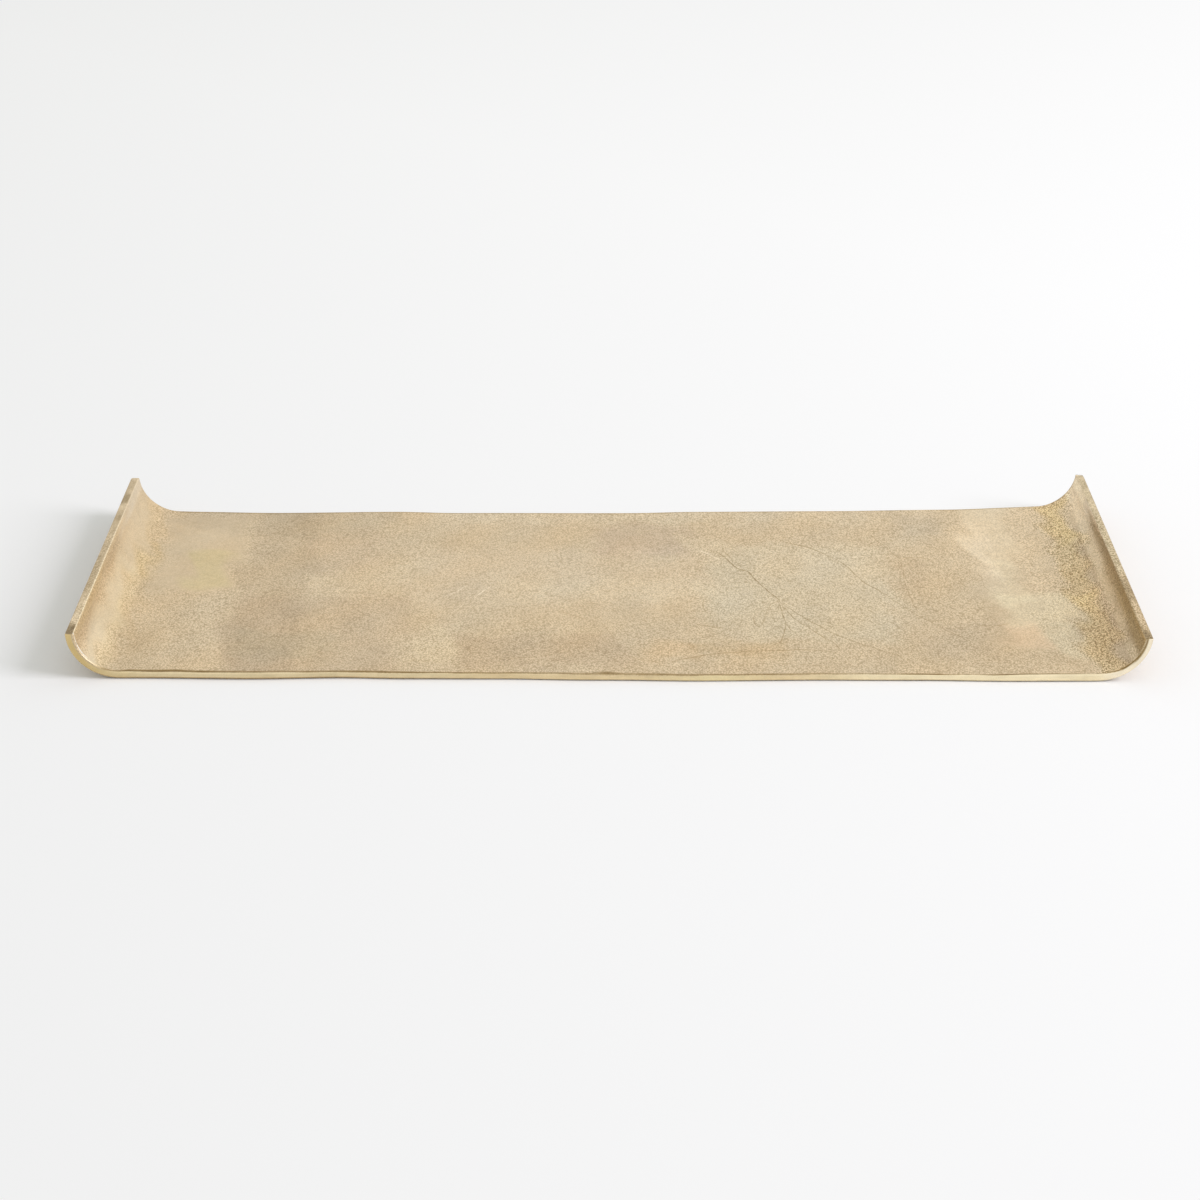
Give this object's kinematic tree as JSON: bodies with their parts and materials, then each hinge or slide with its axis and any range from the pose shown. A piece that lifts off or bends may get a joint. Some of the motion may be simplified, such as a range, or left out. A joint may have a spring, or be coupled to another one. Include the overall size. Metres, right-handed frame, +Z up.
{
  "type": "decorative tray",
  "caption": "Long, narrow cast-metal tray: a flat floor open at front and back, both short ends swept up into low walls with ground edges, on stick-on felt pads.",
  "frame": {"origin": "centre of the tray on the surface it stands on, under the felt pads", "axes": "+X along the tray's length towards the right-hand swept-up end, +Y from the front edge to the back edge, +Z up"},
  "size_m": [0.7619, 0.2666, 0.0369],
  "materials": {
    "cast_brass": "sand-cast aluminium with an antique brass finish: fine leathery cast grain, soft brown and grey-green patina, edges ground bright",
    "felt": "pressed wool felt, dark brown, matte",
    "adhesive": "thin off-white double-sided foam adhesive"
  },
  "bodies": {
    "root": {"tray_casting": "cast_brass", "felt_pad_front_left": "felt", "felt_pad_front_right": "felt", "felt_pad_back_left": "felt", "felt_pad_back_right": "felt", "adhesive_front_left": "adhesive", "adhesive_front_right": "adhesive", "adhesive_back_left": "adhesive", "adhesive_back_right": "adhesive"}
  },
  "joints": []
}
